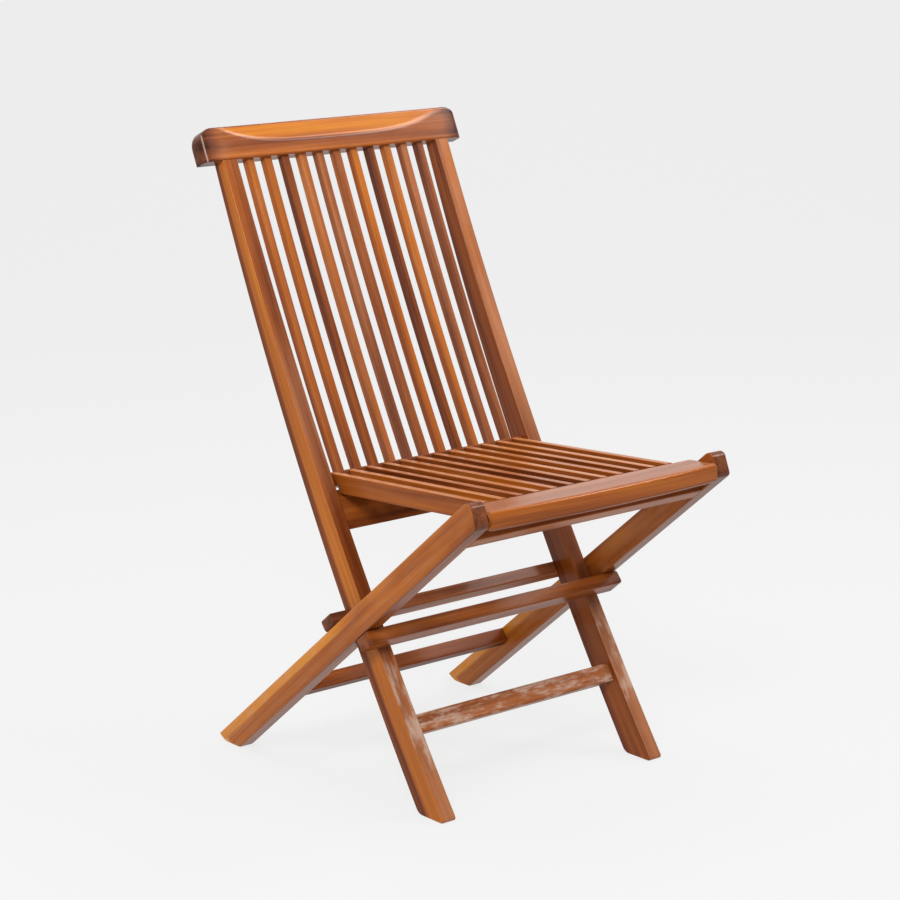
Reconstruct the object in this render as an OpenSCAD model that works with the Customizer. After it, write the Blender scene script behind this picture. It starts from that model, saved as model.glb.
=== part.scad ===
// Slatted folding chair in varnished hardwood, no arms.
// X runs across the chair, the sitter faces -Y, Z is up; the feet stand on Z = 0.
// Every side view below is drawn as [y, z].

/* [Back frame] */
// Width over the outer faces of the two long posts
post_span = 412; // [380:1:450]
// Thickness of a post, across the chair
post_t = 24; // [20:1:30]
// Front edge of a post at the floor, at mid height and at the crest rail, from the middle of the chair
post_front_y = [-211.8, 69.3, 271.0]; // [-230:0.1:290]
// Rear edge of a post at the same three heights
post_rear_y = [-156.9, 111.4, 297.3]; // [-180:0.1:310]
// Heights at which those edges are given
post_z = [0, 450, 852]; // [0:1:900]
// Radius that rounds the heel of a post
post_heel_r = 18; // [6:1:24]

/* [Crest rail] */
// Length of the crest rail, ear to ear
crest_len = 470; // [430:1:500]
// Height of the crest rail, along the lean of the back
crest_h = 49; // [36:1:60]
// Depth of the crest rail
crest_d = 26; // [22:1:32]
// Radius of the two upper corners
crest_corner_r = 22; // [8:1:24]
// Radius of the front corners of the ears, seen from above
crest_ear_r = 10; // [4:1:12]
// Lean of the crest rail from upright, in degrees
crest_lean = 24.7; // [20:0.1:30]

/* [Back slats] */
// Number of back slats
back_slats = 11; // [11:1:11]
// Centre distance of the back slats
back_pitch = 31.1; // [29:0.1:31.2]
// Section of a back slat, square
back_slat_w = 12; // [9:0.5:13]
// How far a slat is let into the rail at each end
slat_socket = 8; // [4:1:10]

/* [Leg frame] */
// Thickness of a leg, across the chair
leg_t = 25.5; // [22:0.5:30]
// Depth of a leg
leg_d = 38; // [32:1:44]
// Radius that rounds the heel of a leg
leg_heel_r = 44; // [25:1:60]
// Slope of a leg from the floor, in degrees
leg_slope = 39.5; // [36:0.1:43]
// Clear gap between a post and the leg beside it
side_gap = 1.5; // [1.2:0.1:3]
// Height of the folding pivot
pivot_z = 234.6; // [225:0.1:245]
// Folding pivot, from the middle of the chair towards the back
pivot_y = -32.7; // [-45:0.1:-20]
// Distance from the folding pivot to the seat pivot, along the leg
nose_reach = 333; // [320:1:340]
// How far the seat pivot lies below the middle line of the leg
nose_drop = 5.7; // [0:0.1:7]

/* [Seat] */
// Width over the side rails of the seat
seat_w = 346; // [340:1:350]
// Distance from the seat pivot back to the rear ends of the slats
seat_back = 365; // [355:0.5:366]
// Distance from the seat pivot forward to the middle of the front edge
seat_front = 24; // [20:0.5:27]
// Height of the seat surface above the seat pivot
seat_top = 12.2; // [8:0.1:14]
// Fall of the seat towards the back, in degrees
seat_fall = 3.72; // [2:0.01:6]
// Width of a side rail of the seat
seat_rail_w = 10.5; // [9:0.5:11]
// Height of a side rail of the seat
seat_rail_h = 27; // [22:1:30]
// Number of slats between the side rails
seat_slats = 10; // [10:1:10]
// Width of a seat slat
seat_slat_w = 11; // [9:0.5:13]
// Height of a seat slat
seat_slat_h = 16; // [12:1:17]
// Front rail of the seat, front to back at its ends
front_rail_d = 56; // [48:1:60]
// Front rail of the seat, thickness
front_rail_h = 26; // [22:1:28]
// How far the front rail bows forward in the middle
front_bow = 10; // [4:1:12]

/* [Hardware] */
// Diameter of the steel pivot pins
pin_d = 8; // [6:1:10]
// Running clearance of a pin in its bore, on the radius
pin_clear = 0.05; // [0.02:0.01:0.1]
// Diameter of the washers between moving timbers
washer_d = 22; // [16:1:26]
// Diameter of the wooden dowels in the stop bars
dowel_d = 8; // [6:1:10]
// Shank diameter of the cleat screws
screw_d = 3.5; // [3:0.5:4]

/* [Hidden] */
$fn = 96;
big = 720;
eps = 0.3;
tenon_l = 14;

// Across the chair
post_out = post_span / 2;
post_in = post_out - post_t;
leg_in = post_out + side_gap;
leg_out = leg_in + leg_t;

// Side-view directions: up the leg towards its nose, and square to it, up and back
leg_up = [-cos(leg_slope), sin(leg_slope)];
leg_sq = [sin(leg_slope), cos(leg_slope)];
pivot = [pivot_y, pivot_z];
nose = pivot + nose_reach * leg_up - nose_drop * leg_sq;

// Centre of the circle through three points of the side view
function centre3(a, b, c) =
    let (d = 2 * (a.x * (b.y - c.y) + b.x * (c.y - a.y) + c.x * (a.y - b.y)),
         aa = a * a, bb = b * b, cc = c * c)
    [(aa * (b.y - c.y) + bb * (c.y - a.y) + cc * (a.y - b.y)) / d,
     (aa * (c.x - b.x) + bb * (a.x - c.x) + cc * (b.x - a.x)) / d];

front_pts = [for (i = [0:2]) [post_front_y[i], post_z[i]]];
rear_pts = [for (i = [0:2]) [post_rear_y[i], post_z[i]]];
front_c = centre3(front_pts[0], front_pts[1], front_pts[2]);
rear_c = centre3(rear_pts[0], rear_pts[1], rear_pts[2]);
front_r = norm(front_pts[0] - front_c);
rear_r = norm(rear_pts[0] - rear_c);

// Edges, middle and lean of the post at height z
function front_y(z) = front_c.x + sqrt(front_r * front_r - (z - front_c.y) * (z - front_c.y));
function rear_y(z) = rear_c.x + sqrt(rear_r * rear_r - (z - rear_c.y) * (z - rear_c.y));
function mid_y(z) = (front_y(z) + rear_y(z)) / 2;
function lean(z) = asin((front_c.y - z) / front_r);
function lean_at(z) = atan((mid_y(z + 10) - mid_y(z - 10)) / 20);

// Places of the cross members, as a corner of the side view
crest_at = [post_front_y[2], post_z[2]];
lower_rail_z = 431.5;
lower_rail_lean = lean_at(lower_rail_z);
lower_rail_front = mid_y(lower_rail_z) - back_slat_w / 2 / cos(lower_rail_lean);
lower_rail_h = 20;
lower_rail_d = 18;
rest_rail_z = [358, 404];
rest_rail_inset = 12;
rest_rail_d = 18;
stretcher_z = 115;
stretcher_inset = 10;
stretcher_h = 27;
stretcher_d = 18;
front_bar_s = [16, 46];
front_bar_h = 20;
rear_bar_s = [-40, -15];
rear_bar_h = 18;
top_stretcher_w = 22;
top_stretcher_d = 15;
top_stretcher_s = 278.5;
low_stretcher_w = 22;
low_stretcher_d = 18;
low_stretcher_s = -213;

// Seat frame: origin at the seat pivot, y towards the back along the seat, z square to it
seat_rail_in = seat_w / 2 - seat_rail_w;
seat_pitch = (seat_w - seat_rail_w) / (seat_slats + 1);
seat_rear_cut = 90 - (lower_rail_lean + seat_fall);
front_rail_back = -seat_front + front_bow + front_rail_d;
front_rail_in = leg_in - side_gap;
tongue_l = 11;
tongue_w = 7;
tongue_h = 9;
cleat_h = 10;
rear_cleat_y = seat_back - 38;
mid_cleat_y = seat_back - 190;
cleat_w = 22;

// ---------- helpers ----------

// A side-view outline carried across the chair from x0 to x1
module across(x0, x1)
    translate([x0, 0, 0])
        rotate([90, 0, 90])
            linear_extrude(x1 - x0) children();

// Both halves of the chair
module both_sides() {
    children();
    mirror([1, 0, 0]) children();
}

// A rectangle in the side view: corner, turn, size along and size square
module turned(corner, turn, w, h)
    translate(corner) rotate(turn) square([w, h]);

// What is cut away to round a corner between the directions a and b with radius r
module round_off(corner, a, b, r)
    let (half = acos(a * b) / 2,
         bis = (a + b) / norm(a + b),
         reach = r / tan(half),
         centre = corner + bis * r / sin(half))
    difference() {
        polygon([corner - bis, corner + reach * a, centre, corner + reach * b]);
        translate(centre) circle(r, $fn = big);
    }

// A rod of diameter d along X
module rod(at, x0, x1, d)
    translate([x0, at.x, at.y])
        rotate([0, 90, 0]) cylinder(d = d, h = x1 - x0);

module washer(at, x0, t, bore)
    difference() {
        rod(at, x0, x0 + t, washer_d);
        rod(at, x0 - 1, x0 + t + 1, bore);
    }

// ---------- outlines of the side view ----------

module post_outline()
    difference() {
        intersection() {
            translate(rear_c) circle(rear_r, $fn = big * 4);
            translate([-600, 0]) square([1200, post_z[2] + 60]);
        }
        translate(front_c) circle(front_r, $fn = big * 4);
        round_off([post_rear_y[0], 0], [-1, 0], [sin(lean(0)), cos(lean(0))], post_heel_r);
        round_off([post_front_y[0], 0], [1, 0], [sin(lean(0)), cos(lean(0))], 4);
    }

// Everything above the shoulder where the post meets the crest rail
module above_crest()
    turned(crest_at + 40 * [-cos(crest_lean), sin(crest_lean)], -crest_lean, 120, 200);

module post_tenon_outline()
    turned(crest_at + 6 * [cos(crest_lean), -sin(crest_lean)] - 1 * [sin(crest_lean), cos(crest_lean)],
        -crest_lean, 12, 26);

module lower_rail_outline()
    translate([lower_rail_front, lower_rail_z])
        rotate(-lower_rail_lean)
            translate([0, -lower_rail_h]) square([lower_rail_d, lower_rail_h]);

module lower_rail_tenon()
    translate([lower_rail_front, lower_rail_z])
        rotate(-lower_rail_lean)
            translate([4, 4 - lower_rail_h]) square([lower_rail_d - 8, lower_rail_h - 8]);

rest_front = [for (z = rest_rail_z) [front_y(z) + rest_rail_inset, z]];
rest_thick = rest_rail_d / cos(lean_at(rest_rail_z[0]));
module rest_rail_outline()
    polygon([rest_front[0], rest_front[1],
        rest_front[1] + [rest_thick, 0], rest_front[0] + [rest_thick, 0]]);

module rest_rail_tenon()
    polygon([
        rest_front[0] + [9, 8], rest_front[1] + [2, -8],
        rest_front[1] + [rest_thick - 7, -8], rest_front[0] + [rest_thick, 8]]);

stretcher_at = [front_y(stretcher_z) + stretcher_inset, stretcher_z];
stretcher_lean = lean_at(stretcher_z);
module stretcher_outline()
    translate(stretcher_at)
        rotate(-stretcher_lean)
            translate([0, -stretcher_h / 2]) square([stretcher_d, stretcher_h]);

module stretcher_tenon()
    translate(stretcher_at)
        rotate(-stretcher_lean)
            translate([4, 4 - stretcher_h / 2]) square([stretcher_d - 8, stretcher_h - 8]);

// In the frame of the leg: origin at the pivot, x up the leg, y square to it, up and back
module on_leg()
    translate(pivot) rotate(180 - leg_slope) mirror([0, 1]) children();

// A point on the lower (side = -1) or upper (side = 1) edge of the leg, at y
function on_edge(side, y) =
    let (start = pivot + side * leg_d / 2 * leg_sq)
    start + (y - start.x) * [1, -tan(leg_slope)];

// The arc that rounds a corner with radius r, from the side of a to the side of b
function fillet(a, corner, b, r) =
    let (u = (a - corner) / norm(a - corner), v = (b - corner) / norm(b - corner),
         half = acos(u * v) / 2,
         centre = corner + (u + v) / norm(u + v) * r / sin(half),
         p = corner + u * r / tan(half) - centre, q = corner + v * r / tan(half) - centre,
         sweep = 180 - 2 * half)
    [for (t = [0:0.125:1]) centre + (sin((1 - t) * sweep) * p + sin(t * sweep) * q) / sin(sweep)];

leg_toe = [on_edge(-1, 0).y / tan(leg_slope), 0];
heel_c = [leg_toe.x + 22, leg_heel_r];
heel_turn = 37.4;
nose_low = on_edge(-1, nose.x - 14);
nose_high = on_edge(1, nose.x + 0.8);

// The heel rounds up from the floor on an arc of its own and meets the upper edge at an angle
module leg_outline()
    polygon(concat(
        [leg_toe],
        [for (t = [0:heel_turn / 10:heel_turn]) heel_c + leg_heel_r * [sin(t), -cos(t)]],
        fillet(on_edge(1, nose.x + 60), nose_high, nose_low, 11),
        fillet(nose_high, nose_low, on_edge(-1, nose.x + 60), 8)));

module front_bar_outline()
    on_leg()
        translate([front_bar_s[0], -leg_d / 2 - eps - front_bar_h])
            square([front_bar_s[1] - front_bar_s[0], front_bar_h]);

module rear_bar_outline()
    on_leg()
        translate([rear_bar_s[0], leg_d / 2 + eps])
            square([rear_bar_s[1] - rear_bar_s[0], rear_bar_h]);

module top_stretcher_outline()
    on_leg()
        translate([top_stretcher_s, -leg_d / 2]) square([top_stretcher_w, top_stretcher_d]);

module top_stretcher_tenon()
    on_leg()
        translate([top_stretcher_s + 3, -leg_d / 2 + 4])
            square([top_stretcher_w - 6, top_stretcher_d - 7]);

module low_stretcher_outline()
    on_leg()
        translate([low_stretcher_s - low_stretcher_d, leg_d / 2 - low_stretcher_w])
            square([low_stretcher_d, low_stretcher_w]);

module low_stretcher_tenon()
    on_leg()
        translate([low_stretcher_s - low_stretcher_d + 4, leg_d / 2 - low_stretcher_w + 4])
            square([low_stretcher_d - 8, low_stretcher_w - 8]);

// ---------- back frame ----------

dowel_q = [-leg_d / 2 - eps - front_bar_h / 2, leg_d / 2 + eps + rear_bar_h / 2];
dowel_s = [front_bar_s[1] - 6, rear_bar_s[0] + 6];

// The dowels run through each bar into the post, along the leg direction
module bar_dowels(d)
    both_sides()
        for (i = [0, 1])
            let (foot = pivot + dowel_s[i] * leg_up + dowel_q[i] * leg_sq)
            translate([post_in + post_t / 2, foot.x, foot.y])
                rotate([i == 0 ? -90 - leg_slope : 90 - leg_slope, 0, 0])
                    cylinder(d = d, h = 36);

module post()
    color("sienna")
        difference() {
            union() {
                across(post_in, post_out)
                    difference() {
                        post_outline();
                        above_crest();
                        front_bar_outline();
                        rear_bar_outline();
                    }
                across(post_in + 6, post_out - 6) post_tenon_outline();
            }
            across(post_in - 1, post_in + tenon_l) {
                lower_rail_tenon();
                rest_rail_tenon();
                stretcher_tenon();
            }
            rod(pivot, post_in - 1, post_out + 1, pin_d);
            rod(pivot, post_in - 1, post_in + 5, pin_d + 4);
            bar_dowels(dowel_d);
        }

module right_post() post();
module left_post() mirror([1, 0, 0]) post();

module crest_blank()
    translate([0, crest_at.x, crest_at.y])
        rotate([-crest_lean, 0, 0])
            intersection() {
                translate([0, crest_d, 0])
                    rotate([90, 0, 0])
                        linear_extrude(crest_d) {
                            translate([-crest_len / 2, 0]) square([crest_len, crest_h - crest_corner_r]);
                            translate([-crest_len / 2 + crest_corner_r, 0])
                                square([crest_len - 2 * crest_corner_r, crest_h]);
                            for (s = [-1, 1])
                                translate([s * (crest_len / 2 - crest_corner_r), crest_h - crest_corner_r])
                                    circle(crest_corner_r);
                        }
                linear_extrude(crest_h) {
                    translate([-crest_len / 2, crest_ear_r]) square([crest_len, crest_d - crest_ear_r]);
                    translate([-crest_len / 2 + crest_ear_r, 0])
                        square([crest_len - 2 * crest_ear_r, crest_ear_r]);
                    for (s = [-1, 1])
                        translate([s * (crest_len / 2 - crest_ear_r), crest_ear_r]) circle(crest_ear_r);
                }
            }

module crest_rail()
    color("chocolate")
        difference() {
            crest_blank();
            both_sides() across(post_in + 6, post_out - 6) post_tenon_outline();
            for (i = [1:back_slats]) back_slat_bar(i);
        }

// A slat follows the middle line of the posts, as one arc
slat_pts = [for (z = [lower_rail_z, (lower_rail_z + post_z[2]) / 2, post_z[2]]) [mid_y(z), z]];
slat_c = centre3(slat_pts[0], slat_pts[1], slat_pts[2]);
slat_r = norm(slat_pts[0] - slat_c);

module slat_outline()
    intersection() {
        difference() {
            translate(slat_c) circle(slat_r + back_slat_w / 2, $fn = big * 4);
            translate(slat_c) circle(slat_r - back_slat_w / 2, $fn = big * 4);
        }
        difference() {
            translate([-100, 300]) square([600, 700]);
            // lower end, square to the slat, inside its socket
            translate([lower_rail_front, lower_rail_z])
                rotate(-lower_rail_lean) translate([-60, -slat_socket - 300]) square([160, 300]);
            // upper end, square to the slat, inside the crest rail
            turned(crest_at + slat_socket * [sin(crest_lean), cos(crest_lean)]
                + 60 * [-cos(crest_lean), sin(crest_lean)], -crest_lean, 160, 300);
        }
    }

module back_slat_bar(i)
    let (x = (i - (back_slats + 1) / 2) * back_pitch)
    across(x - back_slat_w / 2, x + back_slat_w / 2) slat_outline();

module back_slat(i)
    color("peru") back_slat_bar(i);

module lower_back_rail()
    color("sienna")
        difference() {
            union() {
                across(-post_in, post_in) lower_rail_outline();
                across(-post_in - tenon_l, post_in + tenon_l) lower_rail_tenon();
            }
            for (i = [1:back_slats]) back_slat_bar(i);
        }

module seat_rest_rail()
    color("saddlebrown") {
        across(-post_in, post_in) rest_rail_outline();
        across(-post_in - tenon_l, post_in + tenon_l) rest_rail_tenon();
    }

module front_stretcher()
    color("rosybrown") {
        across(-post_in, post_in) stretcher_outline();
        across(-post_in - tenon_l, post_in + tenon_l) stretcher_tenon();
    }

module front_stop_bar()
    color("chocolate")
        difference() {
            across(-leg_out, leg_out) front_bar_outline();
            bar_dowels(dowel_d);
        }

module rear_stop_bar()
    color("sienna")
        difference() {
            across(-leg_out, leg_out) rear_bar_outline();
            bar_dowels(dowel_d);
        }

module stop_bar_dowels()
    color("burlywood") bar_dowels(dowel_d);

module pivot_pins()
    color("silver")
        both_sides() rod(pivot, post_in + 5, leg_in + 19, pin_d);

module pivot_plugs()
    color("burlywood")
        both_sides() rod(pivot, post_in + eps, post_in + 5, pin_d + 4);

module pivot_washers()
    color("goldenrod")
        both_sides() washer(pivot, post_out, side_gap - eps, pin_d);

// ---------- leg frame ----------

module leg()
    color("peru")
        difference() {
            across(leg_in, leg_out) leg_outline();
            across(leg_in - 1, leg_in + tenon_l) {
                top_stretcher_tenon();
                low_stretcher_tenon();
            }
            rod(pivot, leg_in - 1, leg_in + 20, pin_d + 2 * pin_clear);
            rod(nose, leg_in - 1, leg_in + 19, pin_d);
        }

module right_leg() leg();
module left_leg() mirror([1, 0, 0]) leg();

module leg_top_stretcher()
    color("rosybrown") {
        across(-leg_in, leg_in) top_stretcher_outline();
        across(-leg_in - tenon_l, leg_in + tenon_l) top_stretcher_tenon();
    }

module leg_lower_stretcher()
    color("saddlebrown") {
        across(-leg_in, leg_in) low_stretcher_outline();
        across(-leg_in - tenon_l, leg_in + tenon_l) low_stretcher_tenon();
    }

module seat_pins()
    color("silver")
        both_sides() rod(nose, front_rail_in - 25, leg_in + 19, pin_d);

module seat_washers()
    color("goldenrod")
        both_sides()
            washer(nose, leg_in - side_gap + eps, side_gap - eps, pin_d);

// ---------- seat ----------

module on_seat()
    translate([0, nose.x, nose.y])
        rotate([-seat_fall, 0, 0]) children();

// A side-view outline in the seat's own frame, carried from x0 to x1
module seat_across(x0, x1)
    on_seat() across(x0, x1) children();

bow_r = (pow(front_rail_in, 2) + pow(front_bow, 2)) / (2 * front_bow);

module front_rail_plan()
    intersection() {
        translate([-front_rail_in, -seat_front - 1])
            square([2 * front_rail_in, front_rail_back + seat_front + 1]);
        translate([0, -seat_front + bow_r]) circle(bow_r, $fn = big * 4);
    }

// The tongue on the front end of a slat or side rail
module tongue(x, z_top)
    on_seat()
        translate([x - tongue_w / 2, front_rail_back - tongue_l, z_top - 4 - tongue_h])
            cube([tongue_w, tongue_l + 1, tongue_h]);

seat_member_x = concat(
    [-(seat_w - seat_rail_w) / 2],
    [for (i = [1:seat_slats]) (i - (seat_slats + 1) / 2) * seat_pitch],
    [(seat_w - seat_rail_w) / 2]);

module seat_front_rail()
    color("chocolate")
        difference() {
            on_seat()
                translate([0, 0, seat_top - front_rail_h]) linear_extrude(front_rail_h) front_rail_plan();
            for (x = seat_member_x) tongue(x, seat_top);
            both_sides() rod(nose, front_rail_in - 26, front_rail_in + 1, pin_d + 2 * pin_clear);
        }

// Side view of a seat member: its rear end is cut to the lean of the back
module member_outline(h)
    polygon([
        [front_rail_back, seat_top], [seat_back, seat_top],
        [seat_back - h / tan(seat_rear_cut), seat_top - h], [front_rail_back, seat_top - h]]);

module cleat_holes()
    on_seat()
        for (y = [rear_cleat_y, mid_cleat_y])
            for (i = [1:seat_slats])
                translate([seat_member_x[i], y + cleat_w / 2, seat_top - seat_slat_h - cleat_h]) screw();

module screw() {
    cylinder(d = screw_d, h = cleat_h + 8, $fn = 32);
    cylinder(d1 = 7, d2 = screw_d, h = 2.4, $fn = 32);
}

module seat_side_rail(x) {
    seat_across(x - seat_rail_w / 2, x + seat_rail_w / 2) member_outline(seat_rail_h);
    tongue(x, seat_top);
}

module left_seat_rail() color("sienna") seat_side_rail(seat_member_x[0]);
module right_seat_rail() color("sienna") seat_side_rail(seat_member_x[seat_slats + 1]);

module seat_slat(i)
    color("peru")
        difference() {
            union() {
                seat_across(seat_member_x[i] - seat_slat_w / 2, seat_member_x[i] + seat_slat_w / 2)
                    member_outline(seat_slat_h);
                tongue(seat_member_x[i], seat_top);
            }
            cleat_holes();
        }

module cleat(y)
    color("saddlebrown")
        difference() {
            on_seat()
                translate([-seat_rail_in, y, seat_top - seat_slat_h - cleat_h])
                    cube([2 * seat_rail_in, cleat_w, cleat_h]);
            cleat_holes();
        }

module seat_rear_cleat() cleat(rear_cleat_y);
module seat_mid_cleat() cleat(mid_cleat_y);
module cleat_screws() color("silver") cleat_holes();

left_post();
right_post();
crest_rail();
back_slat(1);  // back_slat_01
back_slat(2);  // back_slat_02
back_slat(3);  // back_slat_03
back_slat(4);  // back_slat_04
back_slat(5);  // back_slat_05
back_slat(6);  // back_slat_06
back_slat(7);  // back_slat_07
back_slat(8);  // back_slat_08
back_slat(9);  // back_slat_09
back_slat(10);  // back_slat_10
back_slat(11);  // back_slat_11
lower_back_rail();
seat_rest_rail();
front_stop_bar();
rear_stop_bar();
front_stretcher();
pivot_pins();
pivot_plugs();
pivot_washers();
stop_bar_dowels();
left_leg();
right_leg();
leg_top_stretcher();
leg_lower_stretcher();
seat_pins();
seat_washers();
seat_front_rail();
left_seat_rail();
right_seat_rail();
seat_slat(1);  // seat_slat_01
seat_slat(2);  // seat_slat_02
seat_slat(3);  // seat_slat_03
seat_slat(4);  // seat_slat_04
seat_slat(5);  // seat_slat_05
seat_slat(6);  // seat_slat_06
seat_slat(7);  // seat_slat_07
seat_slat(8);  // seat_slat_08
seat_slat(9);  // seat_slat_09
seat_slat(10);  // seat_slat_10
seat_rear_cleat();
seat_mid_cleat();
cleat_screws();
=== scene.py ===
"""Slatted folding chair: every timber is a board with softened arrises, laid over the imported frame."""

import bmesh
import bpy
import numpy as np
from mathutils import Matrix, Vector


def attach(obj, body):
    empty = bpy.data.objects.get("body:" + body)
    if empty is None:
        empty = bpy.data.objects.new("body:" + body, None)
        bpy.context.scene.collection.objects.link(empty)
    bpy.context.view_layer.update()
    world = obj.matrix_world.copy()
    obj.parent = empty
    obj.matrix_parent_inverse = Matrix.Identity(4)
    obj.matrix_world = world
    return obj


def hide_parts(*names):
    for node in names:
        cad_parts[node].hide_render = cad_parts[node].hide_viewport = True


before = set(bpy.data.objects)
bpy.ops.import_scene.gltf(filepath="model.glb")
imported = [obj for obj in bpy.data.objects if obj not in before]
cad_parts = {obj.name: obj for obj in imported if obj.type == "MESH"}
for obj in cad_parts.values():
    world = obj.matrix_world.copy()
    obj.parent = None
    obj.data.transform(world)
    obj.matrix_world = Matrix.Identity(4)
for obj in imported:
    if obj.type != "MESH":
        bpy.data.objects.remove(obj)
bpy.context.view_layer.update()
MM = 0.001

# ---------------------------------------------------------------- sizes, in millimetres, as the frame has them

POST_IN, POST_OUT = 182.0, 206.0
LEG_IN, LEG_OUT = 207.5, 233.0
POST_Z = np.array([0.0, 450.0, 852.0])
POST_FRONT = np.array([-211.8, 69.3, 271.0])
POST_REAR = np.array([-156.9, 111.4, 297.3])
TOE_R, HEEL_R = 4.0, 18.0
SLAT = 12.0
BACK_SLATS, BACK_PITCH = 11, 31.1
LEG_DEPTH, LEG_HEEL_R, LEG_HEEL_BACK = 38.0, 44.0, 22.0
NOSE_TOP_R, NOSE_LOW_R = 11.0, 8.0
LEG_SLOPE = np.radians(39.5)
PIVOT = np.array([-32.7, 234.6])
LEG_UP = np.array([-np.cos(LEG_SLOPE), np.sin(LEG_SLOPE)])
LEG_SQ = np.array([np.sin(LEG_SLOPE), np.cos(LEG_SLOPE)])
NOSE = PIVOT + 333.0 * LEG_UP - 5.7 * LEG_SQ
SEAT_FALL = np.radians(3.72)
SEAT_W, SEAT_RAIL_W, SEAT_SLATS = 346.0, 10.5, 10
SEAT_TOP, SEAT_BACK, SEAT_FRONT = 12.2, 365.0, 24.0
FRONT_RAIL_BACK, FRONT_RAIL_H, FRONT_BOW, FRONT_RAIL_HALF = 42.0, 26.0, 10.0, 206.0
CREST_LEAN = np.radians(24.7)
CREST_HALF, CREST_H, CREST_D, CREST_CORNER, CREST_EAR = 235.0, 49.0, 26.0, 22.0, 10.0
CREST_BAND = 200.0
LOWER_RAIL_Z, LOWER_RAIL_H, LOWER_RAIL_D = 431.5, 20.0, 18.0
REST_RAIL_Z, REST_RAIL_D, REST_RAIL_INSET = (358.0, 404.0), 18.0, 12.0
STRETCHER_Z, STRETCHER_H, STRETCHER_D, STRETCHER_INSET = 115.0, 27.0, 18.0, 10.0
# Stop bars and leg stretchers: where they begin and end up the leg from the pivot, and how deep they are
FRONT_BAR, REAR_BAR, BAR_GAP = (16, 46, 20), (-40, -15, 18), 0.3
TOP_STRETCHER, LOW_STRETCHER = (278.5, 300.5, 15), (-231, -213, 22)
CLEAT_W, CLEAT_TOP, CLEAT_H = 22.0, 16.0, 10.0


# ---------------------------------------------------------------- curves of the side view

def circle_through(y, z):
    """Centre and radius of the circle through three points. Two linear equations say that its centre is as far
    from the first point as from each of the others."""
    rows = 2 * np.array([[y[1] - y[0], z[1] - z[0]], [y[2] - y[0], z[2] - z[0]]])
    square = y ** 2 + z ** 2
    centre = np.linalg.solve(rows, square[1:] - square[0])
    return centre, np.hypot(y[0] - centre[0], z[0] - centre[1])


def arc_y(circle, z):
    """y of the circle's right half at height z: centre + sqrt(r^2 - dz^2)."""
    (cy, cz), r = circle
    return cy + np.sqrt(np.maximum(r * r - (z - cz) ** 2, 0))


FRONT_ARC = circle_through(POST_FRONT, POST_Z)
REAR_ARC = circle_through(POST_REAR, POST_Z)


def front_y(z):
    return arc_y(FRONT_ARC, z)


def mid_y(z):
    return (arc_y(FRONT_ARC, z) + arc_y(REAR_ARC, z)) / 2


def lean_at(z):
    return np.arctan((mid_y(z + 10) - mid_y(z - 10)) / 20)


def fillet(before, corner, after, r, count):
    """Arc of radius r that rounds a corner, from its tangent point towards before to the one towards after."""
    a = (before - corner) / np.linalg.norm(before - corner)
    b = (after - corner) / np.linalg.norm(after - corner)
    half = np.arccos(np.clip(a @ b, -1, 1)) / 2
    centre = corner + (a + b) / np.linalg.norm(a + b) * r / np.sin(half)
    start, end = corner + a * r / np.tan(half) - centre, corner + b * r / np.tan(half) - centre
    turn = np.linspace(0, 1, count)[:, None]
    sweep = np.pi - 2 * half
    return centre + (np.sin((1 - turn) * sweep) * start + np.sin(turn * sweep) * end) / np.sin(sweep)


def line(a, b, count):
    return np.asarray(a) + np.linspace(0, 1, count)[:, None] * (np.asarray(b) - np.asarray(a))


# ---------------------------------------------------------------- boards

def section(columns, across, arc=4):
    """A rounded rectangle as four arrays: place in the inner rectangle (a across from -1 to 1, b in depth from
    0 to 1) and outward unit vector (u, v)."""
    turn = np.linspace(0, np.pi / 2, arc + 1)[1:-1]
    b = np.concatenate([[0, 0.03], np.linspace(0.03, 0.97, columns)[1:-1], [0.97, 1]])
    a = np.concatenate([[0, 0.06], np.linspace(0.06, 0.94, across)[1:-1], [0.94, 1]])
    one_b, one_a, one_t = np.ones_like(b), np.ones_like(a), np.ones_like(turn)
    parts = [
        (one_b, b, one_b, 0 * b), (one_t, one_t, np.cos(turn), np.sin(turn)),
        (1 - 2 * a, one_a, 0 * a, one_a), (-one_t, one_t, -np.sin(turn), np.cos(turn)),
        (-one_b, 1 - b, -one_b, 0 * b), (-one_t, 0 * turn, -np.cos(turn), -np.sin(turn)),
        (2 * a - 1, 0 * a, 0 * a, -one_a), (one_t, 0 * turn, np.sin(turn), -np.cos(turn))]
    return [np.concatenate(column) for column in zip(*parts)]


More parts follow.
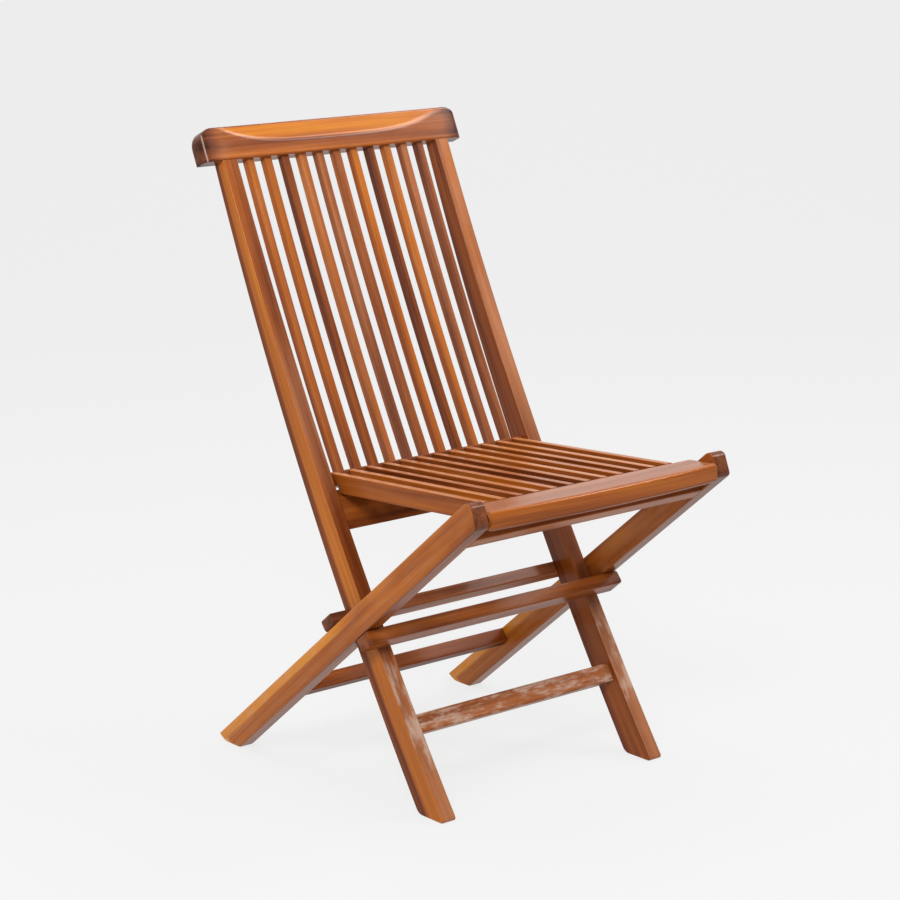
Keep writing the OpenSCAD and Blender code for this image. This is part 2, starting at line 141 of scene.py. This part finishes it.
def board(name, near, far, w0, w1, axes, origin, arris, ends, tone, columns=6, across=4, bend=None):
    """A closed board. near and far are its two edges, as paired points (p, q). The section between each pair is
    a rounded rectangle, w0 to w1 thick, and its thickness draws in towards each end along a quarter circle of
    radius r = ends: by r * (1 - sqrt(1 - (1 - d / r)^2)) at a distance d from the end.
    Place = origin + p * axes[0] + q * axes[1] + w * axes[2]. bend, if given, moves the (p, q, w) arrays first.
    Vertex attributes: grain = (depth, thickness, length) in metres with an offset of its own, and shade = (tone
    from 0 dark to 1 bright, blush from 0 brown to 1 rosy, scuff from 0 to 1), which the function tone gives for
    the share of the length, the share of the depth, and the place across the thickness from -1 to 1."""
    near, far = np.asarray(near, float), np.asarray(far, float)
    a, b, u, v = section(columns, across)
    span = far - near
    depth = np.linalg.norm(span, axis=1)[:, None]
    half = (w1 - w0) / 2
    r = np.minimum(arris, 0.45 * depth)
    q = b * (depth - 2 * r) + r * (1 + v)
    w = a * (half - r) + r * u
    share = q / depth
    flat = near[:, None, :] + share[..., None] * span[:, None, :]
    for end, inner, radius in ((0, 1, ends[0]), (-1, -2, ends[1])):
        if radius > 0:
            along = span[end] / depth[end]
            normal = np.array([-along[1], along[0]])
            normal *= np.sign(normal @ ((near[inner] + far[inner]) / 2 - (near[end] + far[end]) / 2))
            inside = np.clip(((flat - near[end]) @ normal) / radius, 0, 1)
            w = w * (1 - radius * (1 - np.sqrt(1 - (1 - inside) ** 2)) / half)
    middle = (near + far) / 2
    length = np.concatenate([[0], np.cumsum(np.linalg.norm(np.diff(middle, axis=0), axis=1))])[:, None]
    p, t = flat[..., 0], flat[..., 1]
    ww = w + (w0 + w1) / 2
    if bend is not None:
        p, t, ww = bend(p, t, ww)
    axes, origin = np.asarray(axes, float), np.asarray(origin, float)
    co = (origin + p[..., None] * axes[0] + t[..., None] * axes[1] + ww[..., None] * axes[2]) * MM
    n, m = co.shape[:2]
    index = np.arange(n * m).reshape(n, m)
    after = np.roll(index, -1, 1)
    quads = np.stack([index[:-1], after[:-1], after[1:], index[1:]], -1).reshape(-1, 4)
    faces = quads.tolist() + [index[0].tolist(), index[-1].tolist()]
    mesh = bpy.data.meshes.new(name)
    mesh.from_pydata(co.reshape(-1, 3), [], faces)
    seed = 0.37 * (sum(ord(c) * (k + 3) for k, c in enumerate(name)) % 97)
    grain = (q * MM + seed, w * MM + 0.7 * seed, length * MM + 1.3 * seed)
    shade = tone(length / length[-1] + 0 * q, share, w / half)
    for label, parts in (("grain", grain), ("shade", shade)):
        values = np.stack([np.broadcast_to(part, (n, m)) for part in parts], -1).astype(np.float32)
        mesh.attributes.new(label, "FLOAT_VECTOR", "POINT").data.foreach_set("vector", values.ravel())
    shell = bmesh.new()
    shell.from_mesh(mesh)
    bmesh.ops.recalc_face_normals(shell, faces=shell.faces[:])
    shell.to_mesh(mesh)
    shell.free()
    mesh.shade_smooth()
    mesh.set_sharp_from_angle(angle=np.radians(40))
    piece = bpy.data.objects.new(name, mesh)
    bpy.context.scene.collection.objects.link(piece)
    return piece


SIDE = ((0, 1, 0), (0, 0, 1), (1, 0, 0))
SEAT_BACKWARD = (0, np.cos(SEAT_FALL), -np.sin(SEAT_FALL))
SEAT_UP = (0, np.sin(SEAT_FALL), np.cos(SEAT_FALL))
ALONG_SEAT = (SEAT_BACKWARD, SEAT_UP, (1, 0, 0))
ACROSS_SEAT = ((1, 0, 0), SEAT_BACKWARD, SEAT_UP)
SEAT_AT = (0, NOSE[0], NOSE[1])


def plain(level, blush=0.2, scuff=0.0):
    """A tone function that is the same all over."""
    return lambda s, q, w: (level, blush, scuff)


def along(half, count):
    """Places from -half to half, closer together near both ends, where the section draws in."""
    tip = half - np.array([0, 0.4, 1, 2])
    return np.concatenate([-tip, np.linspace(6 - half, half - 6, count), tip[::-1]])


def rail(name, x_half, q0, q1, w0, w1, at, up, back, arris, end, tone):
    """A board across the chair. From the side-view point at, q runs along the side-view direction up, and w
    along back."""
    x = along(x_half, 33)
    near = np.stack([x, 0 * x + q0], 1)
    far = np.stack([x, 0 * x + q1], 1)
    axes = ((1, 0, 0), (0, up[0], up[1]), (0, back[0], back[1]))
    return board(name, near, far, w0, w1, axes, (0, at[0], at[1]), arris, (end, end), tone)


def finish_piece(piece, body, node, material):
    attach(piece, body)
    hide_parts(node)
    piece.data.materials.append(material)


# ---------------------------------------------------------------- shader maths

class Number:
    """A socket that carries one number; arithmetic on it adds Math nodes."""

    def __init__(self, finish, socket):
        self.finish, self.socket = finish, socket

    def _with(self, operation, first, second):
        return self.finish.number("ShaderNodeMath", {"operation": operation}, {0: first, 1: second})

    def __add__(self, other):
        return self._with("ADD", self, other)

    def __radd__(self, other):
        return self._with("ADD", other, self)

    def __sub__(self, other):
        return self._with("SUBTRACT", self, other)

    def __rsub__(self, other):
        return self._with("SUBTRACT", other, self)

    def __mul__(self, other):
        return self._with("MULTIPLY", self, other)

    def __rmul__(self, other):
        return self._with("MULTIPLY", other, self)

    def between(self, low, high):
        """0 below low, 1 above high, and a smooth step between them."""
        smooth = {"interpolation_type": "SMOOTHSTEP"}
        return self.finish.number("ShaderNodeMapRange", smooth, {0: self, 1: low, 2: high})


class Finish:
    """One material and its Principled shader."""

    def __init__(self, name, **fixed):
        self.material = bpy.data.materials.new(name)
        self.material.use_nodes = True
        self.nodes, self.links = self.material.node_tree.nodes, self.material.node_tree.links
        self.shader = self.nodes["Principled BSDF"]
        for socket, value in fixed.items():
            self.shader.inputs[socket.replace("_", " ").title().replace("Ior", "IOR")].default_value = value

    def node(self, kind, settings, inputs, output=0):
        """Adds a node: its settings first, then the value or link of each socket. Gives one output socket."""
        made = self.nodes.new(kind)
        for key, value in settings.items():
            if key == "stops":
                ramp = made.color_ramp
                while len(ramp.elements) < len(value):
                    ramp.elements.new(0.5)
                for element, (place, colour) in zip(ramp.elements, value):
                    element.position, element.color = place, (*colour, 1)
            else:
                setattr(made, key, value)
        for key, value in inputs.items():
            if isinstance(value, Number):
                value = value.socket
            if isinstance(value, bpy.types.NodeSocket):
                self.links.new(value, made.inputs[key])
            else:
                made.inputs[key].default_value = value
        return made.outputs[output]

    def number(self, kind, settings, inputs, output=0):
        return Number(self, self.node(kind, settings, inputs, output))

    def feed(self, socket, value):
        self.links.new(value.socket if isinstance(value, Number) else value, self.shader.inputs[socket])


def rgb(r, g, b):
    """Linear colour of an 8-bit screen colour."""
    c = np.array([r, g, b]) / 255
    return tuple(float(v) for v in np.where(c <= 0.04045, c / 12.92, ((c + 0.055) / 1.055) ** 2.4))


BROWNS = [(0.0, rgb(46, 16, 4)), (0.25, rgb(96, 42, 12)), (0.5, rgb(142, 72, 20)), (0.75, rgb(176, 98, 24)),
          (1.0, rgb(200, 124, 24))]
# Rosy browns for the blush, which is partly the wood's own tone and partly painted reflection (post narrow
# faces, front rail top, seat slat tops).
PINKS = [(0.0, rgb(68, 30, 16)), (0.3, rgb(120, 68, 42)), (0.6, rgb(160, 101, 66)), (1.0, rgb(202, 146, 110))]


def teak(name, gloss, contrast=1.0, coat=0.15):
    """Varnished teak. The board's tone runs through the browns, or the rosy browns where it blushes, moved by
    broad bands and fine streaks that follow the grain. Scuffs are pale, dull patches."""
    f = Finish(name, coat_weight=coat, coat_roughness=0.12, specular_ior_level=0.1)
    grain = f.node("ShaderNodeAttribute", {"attribute_name": "grain"}, {}, "Vector")
    shade = f.node("ShaderNodeAttribute", {"attribute_name": "shade"}, {}, "Vector")
    tone, blush, scuff = (f.number("ShaderNodeSeparateXYZ", {}, {0: shade}, axis) for axis in "XYZ")

    def figure(across, along, detail, rough):
        scale = (across, across, along)
        place = f.node("ShaderNodeVectorMath", {"operation": "MULTIPLY"}, {0: grain, 1: scale})
        return f.number("ShaderNodeTexNoise", {},
                        {"Vector": place, "Scale": 1.0, "Detail": detail, "Roughness": rough})

    bands = figure(55, 2.2, 2, 0.5)
    streaks = figure(330, 5.0, 4, 0.6)
    fibres = figure(1500, 22, 3, 0.6)
    clouds = figure(90, 30, 3, 0.6)
    level = tone + (bands - 0.5) * (0.95 * contrast) + (streaks - 0.5) * (0.5 * contrast)
    level = level + (fibres - 0.5) * 0.14
    brown = f.node("ShaderNodeValToRGB", {"stops": BROWNS}, {0: level})
    rosy = f.node("ShaderNodeValToRGB", {"stops": PINKS}, {0: level})
    mixed = {"data_type": "RGBA"}
    rose = (blush + (clouds - 0.5) * 0.8).between(0.1, 0.9)
    colour = f.node("ShaderNodeMix", mixed, {0: rose, 6: brown, 7: rosy}, 2)
    pores = fibres.between(0.56, 0.68) * streaks.between(0.4, 0.6)
    multiplied = {"data_type": "RGBA", "blend_type": "MULTIPLY"}
    colour = f.node("ShaderNodeMix", multiplied, {0: pores * 0.35, 6: colour, 7: (0.45, 0.30, 0.20, 1)}, 2)
    worn = scuff * (clouds * 0.6 + fibres * 0.4).between(0.46, 0.6)
    colour = f.node("ShaderNodeMix", mixed, {0: worn * 0.62, 6: colour, 7: (*rgb(196, 170, 152), 1)}, 2)
    f.feed("Base Color", colour)
    f.feed("Roughness", gloss + (streaks - 0.5) * 0.14 + pores * 0.12 + worn * 0.25)
    f.feed("Normal", f.node("ShaderNodeBump", {}, {"Strength": 0.22, "Distance": 0.0004,
                                                   "Height": fibres * 0.6 + streaks * 0.8}))
    return f.material


STREAKED = teak("teak_streaked", 0.28, 0.65)
GOLDEN = teak("teak_golden", 0.3, 0.9, 0.25)
BROWN = teak("teak_brown", 0.32, 0.9, 0.06)
DARK = teak("teak_dark", 0.34, 0.7, 0.04)
SLATS = teak("teak_slats", 0.32, 0.9)


def step(value, low, high):
    """Smooth step from 0 at low to 1 at high."""
    t = np.clip((value - low) / (high - low), 0, 1)
    return t * t * (3 - 2 * t)


# ---------------------------------------------------------------- back frame

def post_edges():
    """Front and rear edge of a post at rising heights. The toe and the heel round on arcs that touch the floor
    and the post's edge, r / tan(half the angle between them) from the corner."""
    z = np.concatenate([[0, 0.3, 1, 2, 3.2, 4.6, 6.3, 7.7, 10, 14], np.linspace(20, 851.8, 90)])
    lean = lean_at(10.0)
    toe = TOE_R / np.tan((np.pi / 2 - lean) / 2)
    heel = HEEL_R / np.tan((np.pi / 2 + lean) / 2)
    front, rear = front_y(z), arc_y(REAR_ARC, z)
    low = z < toe * np.cos(lean)
    front[low] = np.maximum(front[low], POST_FRONT[0] + toe - np.sqrt(TOE_R ** 2 - (z[low] - TOE_R) ** 2))
    low = z < heel * np.cos(lean)
    rear[low] = np.minimum(rear[low], POST_REAR[0] - heel + np.sqrt(HEEL_R ** 2 - (z[low] - HEEL_R) ** 2))
    return np.stack([front, z], 1), np.stack([rear, z], 1)


def post_tone(s, q, w, streak, rosy):
    """A bright streak over the front part of the sides; the narrow faces are rosy in their middle and below the
    crossing, and scuffed near the feet. On the narrow faces the rosy, lighter middle above the seat and the
    rosy stretch below the crossing are painted reflection, and the darker stretch between them, under the seat,
    is painted shade."""
    on_side = np.abs(w) > 0.93
    side = 0.3 + streak * (1 - step(q, 0.55, 0.75))
    # middle: painted reflection above the seat; where it falls off below the seat is painted shade
    middle = np.exp(-((s - 0.62) / 0.12) ** 2)
    low = 1 - step(s, 0.2, 0.3)
    narrow = 0.34 + 0.14 * middle + 0.1 * step(s, 0.8, 0.95) + 0.2 * low + 0.4 * rosy * step(s, 0.5, 0.7)
    # the narrow faces' rosy blush is painted reflection
    blush = 0.2 + 0.6 * middle + 0.6 * low + rosy
    scuff = (1 - step(s, 0.2, 0.27)) * step(s, 0.04, 0.12)
    return np.where(on_side, side, narrow), np.where(on_side, 0.1, blush), np.where(on_side, 0, scuff)


def make_posts():
    near, far = post_edges()
    for side, sign in (("left", -1), ("right", 1)):
        w0, w1 = sorted((sign * POST_IN, sign * POST_OUT))
        # rosy: extra painted reflection, lighter and rosier, on the right post's narrow faces
        streak, rosy = (0.38, 0.0) if side == "left" else (0.1, 0.35)
        piece = board("post_" + side, near, far, w0, w1, SIDE, (0, 0, 0), 1.8, (2.0, 0),
                      lambda s, q, w: post_tone(s, q, w, streak, rosy), 12, 6)
        finish_piece(piece, "back_frame", side + "_post", STREAKED)


def crest_sag(x):
    """The sagging line's height as a share of the rail's, at x from its middle: 0.44 + 0.54 * (x / 200)^4."""
    return 0.44 + 0.54 * np.clip(np.abs(x) / CREST_BAND, 0, 1) ** 4


def crest_edges():
    """Lower and upper edge of the crest rail along x; its two upper corners are quarter circles."""
    turn = np.linspace(0, np.pi / 2, 12)
    corner_x = -CREST_HALF + CREST_CORNER * (1 - np.cos(turn))
    corner_q = CREST_H - CREST_CORNER * (1 - np.sin(turn))
    straight = CREST_HALF - CREST_CORNER - 6
    x = np.concatenate([corner_x, np.linspace(-straight, straight, 60), -corner_x[::-1]])
    q = np.concatenate([corner_q, np.full(60, CREST_H), corner_q[::-1]])
    return np.stack([x, 0 * x], 1), np.stack([x, q], 1)


def crest_shape(p, q, w):
    """The ears' front corners are arcs in plan, and the upper front is hollowed under a long sagging line."""
    edge = np.clip((CREST_HALF - np.abs(p)) / CREST_EAR, 0, 1)
    w = np.maximum(w, CREST_EAR * (1 - np.sqrt(1 - (1 - edge) ** 2)))
    hollow = 1.1 * step(q - CREST_H * crest_sag(p), -2.2, 2.2)
    hollow = hollow * np.clip(1 - np.abs(p) / CREST_BAND, 0, 1) ** 0.25
    return p, q, w + hollow * (w < CREST_D / 2)


def crest_tone(s, q, w):
    """Gold above the sagging line and orange-brown below it, except at the back; the ears are darker."""
    x = np.abs(2 * s - 1) * CREST_HALF
    # The gold band is partly lighter sapwood and partly painted light, where the hollowed upper front tilts up
    # to the light.
    band = step(q - crest_sag(x), -0.03, 0.03) * (w < 0.8) * (x < CREST_BAND)
    band = band * (1 - step(q, 0.93, 0.97))
    return 0.44 + 0.34 * band - 0.36 * step(x, 195, 226), 0.2 - 0.3 * band + 0.3 * step(x, 150, 220), 0


def make_crest():
    near, far = crest_edges()
    up, back = (np.sin(CREST_LEAN), np.cos(CREST_LEAN)), (np.cos(CREST_LEAN), -np.sin(CREST_LEAN))
    axes = ((1, 0, 0), (0, *up), (0, *back))
    piece = board("crest_board", near, far, 0, CREST_D, axes, (0, POST_FRONT[2], POST_Z[2]), 2.0, (0, 0),
                  crest_tone, 28, 8, crest_shape)
    finish_piece(piece, "back_frame", "crest_rail", GOLDEN)


def make_back_slats():
    """Each slat is square in section, and one arc along the middle line of the posts."""
    z = np.array([LOWER_RAIL_Z, (LOWER_RAIL_Z + POST_Z[2]) / 2, POST_Z[2]])
    centre, r = circle_through(mid_y(z), z)
    rise = np.linspace(LOWER_RAIL_Z - 4, POST_Z[2] + 2, 40)
    angle = np.arcsin((rise - centre[1]) / r)
    way = np.stack([np.cos(angle), np.sin(angle)], 1)
    near, far = centre + (r - SLAT / 2) * way, centre + (r + SLAT / 2) * way
    for k in range(BACK_SLATS):
        x = (k - (BACK_SLATS - 1) / 2) * BACK_PITCH
        shade = 0.4 + 0.15 * np.sin(2.4 * k + 0.5)
        blush = 0.25 + 0.3 * np.sin(5.1 * k)
        piece = board("back_batten_%02d" % (k + 1), near, far, x - SLAT / 2, x + SLAT / 2, SIDE, (0, 0, 0), 0.9,
                      (0, 0), lambda s, q, w: (shade + 0.14 * step(s, 0.1, 0.9), blush, 0), 3, 3)
        finish_piece(piece, "back_frame", "back_slat_%02d" % (k + 1), SLATS)


def leaning(z):
    """Directions up along the post and square to it, towards the back, at height z."""
    lean = lean_at(z)
    return (np.sin(lean), np.cos(lean)), (np.cos(lean), -np.sin(lean))


def make_back_rails():
    at = (mid_y(LOWER_RAIL_Z) - SLAT / 2 / np.cos(lean_at(LOWER_RAIL_Z)), LOWER_RAIL_Z)
    piece = rail("lower_back_board", POST_IN, -LOWER_RAIL_H, 0, 0, LOWER_RAIL_D, at,
                 *leaning(LOWER_RAIL_Z), 1.5, 0, plain(0.4))
    finish_piece(piece, "back_frame", "lower_back_rail", BROWN)

    low, high = REST_RAIL_Z
    rise = np.array([front_y(high) - front_y(low), high - low])
    rise_len = np.linalg.norm(rise)
    thick = REST_RAIL_D / np.cos(lean_at(low))
    piece = rail("seat_rest_board", POST_IN, 0, rise_len, 0, thick, (front_y(low) + REST_RAIL_INSET, low),
                 rise / rise_len, (1, 0), 1.5, 0, plain(0.36))
    finish_piece(piece, "back_frame", "seat_rest_rail", DARK)

    at = (front_y(STRETCHER_Z) + STRETCHER_INSET, STRETCHER_Z)
    piece = rail("front_stretcher_board", POST_IN, -STRETCHER_H / 2, STRETCHER_H / 2, 0, STRETCHER_D, at,
                 *leaning(STRETCHER_Z), 1.8, 0, plain(0.42, 0.6, 1.0))
    finish_piece(piece, "back_frame", "front_stretcher", BROWN)


def make_stop_bars():
    gap = LEG_DEPTH / 2 + BAR_GAP
    low, high, deep = FRONT_BAR
    piece = rail("front_stop_board", LEG_OUT, low, high, -gap - deep, -gap, PIVOT, LEG_UP, LEG_SQ, 1.8, 2.5,
                 lambda s, q, w: (0.44 - 0.12 * step(np.abs(2 * s - 1), 0.93, 0.98), 0.3, 0))
    finish_piece(piece, "back_frame", "front_stop_bar", BROWN)
    low, high, deep = REAR_BAR
    piece = rail("rear_stop_board", LEG_OUT, low, high, gap, gap + deep, PIVOT, LEG_UP, LEG_SQ, 1.8, 2.5,
                 lambda s, q, w: (0.45 - 0.25 * step(np.abs(2 * s - 1), 0.8, 0.95), 0.6, 0))
    finish_piece(piece, "back_frame", "rear_stop_bar", BROWN)


# ---------------------------------------------------------------- leg frame

def leg_edges():
    """Lower and upper edge of a leg from the floor to the nose. The heel is an arc that leaves the floor flat,
    (r * sin t, r * (1 - cos t)), until it meets the upper edge, and the nose's corners are filleted."""
    down = np.array([1, -np.tan(LEG_SLOPE)])

    def on_edge(sign, y):
        start = PIVOT + sign * LEG_DEPTH / 2 * LEG_SQ
        return start + (y - start[0]) * down

    toe_y = on_edge(-1, 0)[1] / np.tan(LEG_SLOPE)
    toe = np.array([toe_y, 0.0])
    angle = np.linspace(0, 1, 200) * np.pi / 3
    heel = LEG_HEEL_R * np.stack([np.sin(angle), 1 - np.cos(angle)], 1) + np.array([toe_y + LEG_HEEL_BACK, 0])
    inside = (heel - on_edge(1, 0)) @ np.array([np.tan(LEG_SLOPE), 1]) <= 0
    heel = heel[inside]
    heel = heel[np.linspace(0, len(heel) - 1, 12).astype(int)]
    low, high = on_edge(-1, NOSE[0] - 14), on_edge(1, NOSE[0] + 0.8)
    top_arc = fillet(on_edge(1, NOSE[0] + 80), high, low, NOSE_TOP_R, 14)
    low_arc = fillet(on_edge(-1, NOSE[0] + 80), low, high, NOSE_LOW_R, 10)
    foot_low = line(toe, on_edge(-1, toe_y - 8), 12)
    low_start = on_edge(-1, top_arc[0][0] - LEG_DEPTH * LEG_SQ[0] * 0.5)
    near = np.concatenate([foot_low, line(foot_low[-1], low_start, 62)[1:-1],
                           line(low_start, low_arc[0], 5)[:-1], low_arc])
    far = np.concatenate([heel, line(heel[-1], top_arc[0], 62)[1:-1], top_arc])
    return near, far


def leg_tone(s, q, w):
    """The upper third of the sides is bright towards the foot, and again in a patch above the crossing. The
    rest is a reddish brown, and the nose's narrow faces are dark."""
    near_foot = 1 - step(s, 0.45, 0.62)
    glow = np.exp(-((s - 0.66) / 0.06) ** 2) * step(q, 0.3, 0.8)
    side = 0.6 + 0.4 * step(q, 0.60, 0.68) * near_foot + 0.2 * glow - 0.08 * step(s, 0.86, 0.93)
    on_side = np.abs(w) > 0.93
    end = step(s, 0.955, 0.97)
    return np.where(on_side, side, 0.36 - 0.2 * end), np.where(on_side, 0.3, 0.3 + 0.5 * end), 0


def make_leg_frame():
    near, far = leg_edges()
    for side, sign in (("left", -1), ("right", 1)):
        w0, w1 = sorted((sign * LEG_IN, sign * LEG_OUT))
        piece = board("leg_board_" + side, near, far, w0, w1, SIDE, (0, 0, 0), 1.8, (2.0, 3.0), leg_tone, 12, 6)
        finish_piece(piece, "leg_frame", side + "_leg", STREAKED)
    half = LEG_DEPTH / 2
    low, high, deep = TOP_STRETCHER
    piece = rail("top_stretcher_board", LEG_IN, low, high, -half, -half + deep, PIVOT, LEG_UP, LEG_SQ, 1.5, 0,
                 plain(0.45, 0.5))
    finish_piece(piece, "leg_frame", "leg_top_stretcher", BROWN)
    low, high, deep = LOW_STRETCHER
    # The upper face is painted lighter, a painted highlight, and the other faces darker as painted shade.
    piece = rail("lower_stretcher_board", LEG_IN, low, high, half - deep, half, PIVOT, LEG_UP, LEG_SQ, 1.5, 0,
                 lambda s, q, w: (np.where(q > 0.9, 0.4, 0.22), 0.1, 0))
    finish_piece(piece, "leg_frame", "leg_lower_stretcher", DARK)


# ---------------------------------------------------------------- seat

def make_front_rail():
    """The front edge is a shallow circular bow in plan, of radius (half^2 + bow^2) / (2 * bow)."""
    x = along(FRONT_RAIL_HALF, 60)
    bow = (FRONT_RAIL_HALF ** 2 + FRONT_BOW ** 2) / (2 * FRONT_BOW)
    front = -SEAT_FRONT + bow - np.sqrt(bow ** 2 - x ** 2)
    near, far = np.stack([x, front], 1), np.stack([x, 0 * x + FRONT_RAIL_BACK], 1)
    # The front face is golden-brown and the faces behind it rosy; on the top face the rosy tone is a painted
    # sheen.
    piece = board("front_rail_board", near, far, SEAT_TOP - FRONT_RAIL_H, SEAT_TOP, ACROSS_SEAT,
                  SEAT_AT, 5.0, (2, 2),
                  lambda s, q, w: (np.where(q < 0.05, 0.52, 0.5), np.where(q < 0.05, 0.1, 0.7), 0), 10, 6)
    finish_piece(piece, "seat", "seat_front_rail", GOLDEN)


def make_seat_members():
    lean = lean_at(LOWER_RAIL_Z) + SEAT_FALL
    pitch = (SEAT_W - SEAT_RAIL_W) / (SEAT_SLATS + 1)
    for k in range(SEAT_SLATS + 2):
        outer = k in (0, SEAT_SLATS + 1)
        x = (k - (SEAT_SLATS + 1) / 2) * pitch
        wide, tall = (SEAT_RAIL_W, 27.0) if outer else (11.0, 16.0)
        y = np.linspace(FRONT_RAIL_BACK - 0.5, SEAT_BACK, 40)
        low = y[0] + (y - y[0]) * (SEAT_BACK - tall * np.tan(lean) - y[0]) / (SEAT_BACK - y[0])
        near, far = np.stack([low, 0 * y + SEAT_TOP - tall], 1), np.stack([y, 0 * y + SEAT_TOP], 1)
        shade = 0.42 + 0.1 * np.sin(1.9 * k)
        name = "seat_batten_%02d" % k
        node = "seat_slat_%02d" % k
        if outer:
            side = "left" if k == 0 else "right"
            name, node = "seat_side_" + side, side + "_seat_rail"
        # The top faces (q > 0.97) are painted lighter and rosier: a painted highlight.
        piece = board(name, near, far, x - wide / 2, x + wide / 2, ALONG_SEAT, SEAT_AT, 1.1, (0, 0.8),
                      lambda s, q, w: (np.where(q > 0.97, 0.66, shade), 0.2 + 0.4 * (q > 0.97), 0), 5, 3)
        finish_piece(piece, "seat", node, SLATS)


def make_cleats():
    for label, y0 in (("rear", SEAT_BACK - 38), ("mid", SEAT_BACK - 190)):
        half = SEAT_W / 2 - SEAT_RAIL_W
        near = line((-half, y0), (half, y0), 12)
        far = line((-half, y0 + CLEAT_W), (half, y0 + CLEAT_W), 12)
        top = SEAT_TOP - CLEAT_TOP
        piece = board("cleat_" + label, near, far, top - CLEAT_H, top, ACROSS_SEAT, SEAT_AT, 0.8, (0, 0),
                      plain(0.2))
        finish_piece(piece, "seat", "seat_%s_cleat" % label, DARK)


# ---------------------------------------------------------------- hardware

def metal(name, colour, rough):
    """Brushed metal with faint turned rings and dull patches."""
    f = Finish(name, metallic=1.0)
    place = f.node("ShaderNodeTexCoord", {}, {}, "Object")
    rings = f.number("ShaderNodeTexNoise", {}, {"Vector": place, "Scale": 900.0, "Detail": 3.0})
    patches = f.number("ShaderNodeTexNoise", {}, {"Vector": place, "Scale": 120.0, "Detail": 2.0})
    ends = {0: patches, 6: (*colour, 1), 7: (*(0.7 * v for v in colour), 1)}
    f.feed("Base Color", f.node("ShaderNodeMix", {"data_type": "RGBA"}, ends, 2))
    f.feed("Roughness", rough + (rings - 0.5) * 0.2)
    f.feed("Normal", f.node("ShaderNodeBump", {}, {"Strength": 0.1, "Distance": 0.0001, "Height": rings}))
    return f.material


def end_grain(name):
    """Wooden plugs and dowels: small mottled end grain."""
    f = Finish(name, coat_weight=0.5, coat_roughness=0.15)
    place = f.node("ShaderNodeTexCoord", {}, {}, "Object")
    mottle = f.number("ShaderNodeTexNoise", {}, {"Vector": place, "Scale": 1400.0, "Detail": 3.0})
    f.feed("Base Color", f.node("ShaderNodeValToRGB", {"stops": BROWNS}, {0: mottle * 0.6 + 0.15}))
    f.feed("Roughness", 0.35 + (mottle - 0.5) * 0.2)
    f.feed("Normal", f.node("ShaderNodeBump", {}, {"Strength": 0.2, "Distance": 0.0002, "Height": mottle}))
    return f.material


def dress_hardware():
    steel = metal("turned_steel", (0.62, 0.62, 0.63), 0.3)
    brass = metal("brass_washer", (0.72, 0.52, 0.24), 0.35)
    plug = end_grain("plug_end_grain")
    coats = {"pivot_pins": steel, "seat_pins": steel, "cleat_screws": steel, "pivot_washers": brass,
             "seat_washers": brass, "pivot_plugs": plug, "stop_bar_dowels": plug}
    for node, material in coats.items():
        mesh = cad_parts[node].data
        mesh.materials.clear()
        mesh.materials.append(material)


# ---------------------------------------------------------------- stage, light and camera

CAMERA_TURN = np.radians(-40.1)


def make_stage():
    """A pale floor that curves up far behind the chair, turned to face the camera."""
    turn = np.linspace(0, np.pi / 2, 24)
    y = np.concatenate([[-12], [3.5], 3.5 + 2.5 * np.sin(turn), [6.0]])
    z = np.concatenate([[0], [0], 2.5 * (1 - np.cos(turn)), [9.0]])
    x = np.array([-12.0, 12.0])
    across, along, up = (part.ravel() for part in np.broadcast_arrays(x[None, :], y[:, None], z[:, None]))
    c, s = np.cos(CAMERA_TURN), np.sin(CAMERA_TURN)
    turned = np.stack([across * c - along * s, across * s + along * c, up], 1)
    n = len(y)
    faces = [(2 * k, 2 * k + 1, 2 * k + 3, 2 * k + 2) for k in range(n - 1)]
    mesh = bpy.data.meshes.new("studio_floor")
    mesh.from_pydata(turned, [], faces)
    mesh.shade_smooth()
    floor = bpy.data.objects.new("studio_floor", mesh)
    bpy.context.scene.collection.objects.link(floor)
    f = Finish("studio_paper", base_color=(0.09, 0.09, 0.09, 1), roughness=0.9, specular_ior_level=0.0,
               emission_color=(1, 1, 1, 1), emission_strength=0.78)
    mesh.materials.append(f.material)


def area_light(name, at, size, power):
    """A square lamp, aimed at the middle of the chair."""
    lamp = bpy.data.lights.new(name, "AREA")
    lamp.shape, lamp.size, lamp.energy = "SQUARE", size, power
    holder = bpy.data.objects.new(name, lamp)
    holder.location = at
    holder.rotation_euler = (Vector((0, 0, 0.4)) - Vector(at)).to_track_quat("-Z", "Y").to_euler()
    bpy.context.scene.collection.objects.link(holder)


def make_lights():
    world = bpy.data.worlds.new("studio")
    world.use_nodes = True
    background = world.node_tree.nodes["Background"]
    background.inputs["Color"].default_value = (1, 1, 1, 1)
    background.inputs["Strength"].default_value = 0.42
    bpy.context.scene.world = world
    bpy.context.scene.view_settings.view_transform = "Standard"
    area_light("key", (-2.6, -2.0, 3.0), 1.2, 125)
    area_light("fill", (2.3, -1.1, 2.9), 0.9, 44)
    area_light("top", (0.0, 0.3, 3.4), 2.0, 52)


def make_camera():
    lens = bpy.data.cameras.new("camera")
    lens.sensor_width, lens.lens = 36.0, 109.26
    camera = bpy.data.objects.new("camera", lens)
    camera.location = (-2.4328, -2.8684, 1.3388)
    camera.rotation_euler = (np.radians(90 - 13.29), 0, CAMERA_TURN)
    bpy.context.scene.collection.objects.link(camera)
    bpy.context.scene.camera = camera


make_posts()
make_crest()
make_back_slats()
make_back_rails()
make_stop_bars()
make_leg_frame()
make_front_rail()
make_seat_members()
make_cleats()
dress_hardware()
make_stage()
make_lights()
make_camera()
